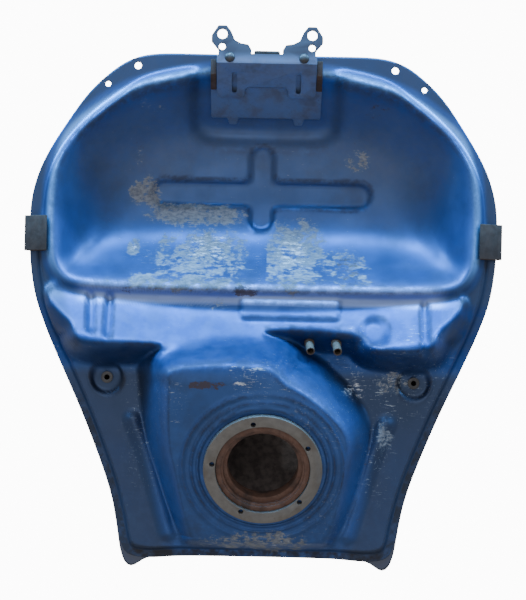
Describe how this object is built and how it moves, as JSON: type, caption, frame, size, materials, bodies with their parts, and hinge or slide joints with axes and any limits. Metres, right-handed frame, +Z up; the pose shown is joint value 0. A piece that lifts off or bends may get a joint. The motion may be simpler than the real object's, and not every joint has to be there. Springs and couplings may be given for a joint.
{
  "type": "motorcycle fuel tank",
  "caption": "Pressed-steel motorcycle fuel tank with airbox recess, pump opening, front bracket and locking filler cap.",
  "frame": {"origin": "under the middle of the tank's box, on the surface its lowest point touches", "axes": "+X forward, +Y to the rider's left, +Z up, as fitted on the motorcycle"},
  "size_m": [0.5231, 0.4604, 0.2463],
  "materials": {
    "pan_paint": "worn metallic blue paint",
    "skin_paint": "glossy metallic blue paint under clear coat",
    "bare_steel": "machined, stained",
    "rusty_steel": "rusted",
    "zinc_steel": "zinc plated, satin",
    "dark_paint": "blue paint, dulled by road dirt",
    "old_rubber": "aged",
    "black_rubber": "matt",
    "dark_steel": "oiled",
    "tube_steel": "tarnished",
    "cap_aluminium": "satin anodised",
    "black_steel": "black oxide",
    "black_plastic": "matt",
    "brass_lock": "worn"
  },
  "bodies": {
    "tank": {"base_pan": "pan_paint", "tank_skin": "skin_paint", "pump_flange": "bare_steel", "pump_neck": "rusty_steel", "baffle_plate": "zinc_steel", "bracket_base": "dark_paint", "front_bracket": "dark_paint", "bracket_rivets": "dark_paint", "bracket_side_pads": "old_rubber", "front_edge_buffer": "black_rubber", "side_cushion_left": "black_rubber", "side_cushion_right": "black_rubber", "rivet_nut_left": "dark_steel", "rivet_nut_right": "dark_steel", "drain_tube": "tube_steel", "breather_tube": "tube_steel", "filler_neck": "zinc_steel", "flange_gasket": "black_rubber", "cap_flange": "cap_aluminium", "cap_screws": "black_steel", "hinge_pin": "dark_steel"},
    "lid": {"cap_lid": "cap_aluminium", "cap_seal": "black_rubber", "latch_housing": "black_plastic", "tip_over_valve": "brass_lock", "cover_rivet": "dark_steel"},
    "lock": {"lock_barrel": "brass_lock"},
    "latch_left": {"latch_left": "zinc_steel"},
    "latch_right": {"latch_right": "zinc_steel"},
    "keyhole_cover": {"keyhole_cover": "cap_aluminium"}
  },
  "joints": [
    {"name": "lid_hinge", "type": "hinge", "parent": "tank", "child": "lid", "pos_m": [0.13, 0, 0.2388], "axis": [0, 1, 0], "range_deg": [0, 95]},
    {"name": "lock_turn", "type": "hinge", "parent": "lid", "child": "lock", "pos_m": [0.075, 0, 0.2362], "axis": [0, 0, 1], "range_deg": [0, 90]},
    {"name": "latch_left_slide", "type": "slide", "parent": "lid", "child": "latch_left", "axis": [0, 1, 0], "range_m": [0, 0.007]},
    {"name": "latch_right_slide", "type": "slide", "parent": "lid", "child": "latch_right", "axis": [0, -1, 0], "range_m": [0, 0.007]},
    {"name": "keyhole_cover_swivel", "type": "hinge", "parent": "lid", "child": "keyhole_cover", "pos_m": [0.09, 0, 0.2442], "axis": [0, 0, 1], "range_deg": [0, 110]}
  ],
  "couplings": [
    {"joint": "latch_left_slide", "follows": "lock_turn", "m_per_rad": 0.00445},
    {"joint": "latch_right_slide", "follows": "lock_turn", "m_per_rad": 0.00445}
  ]
}
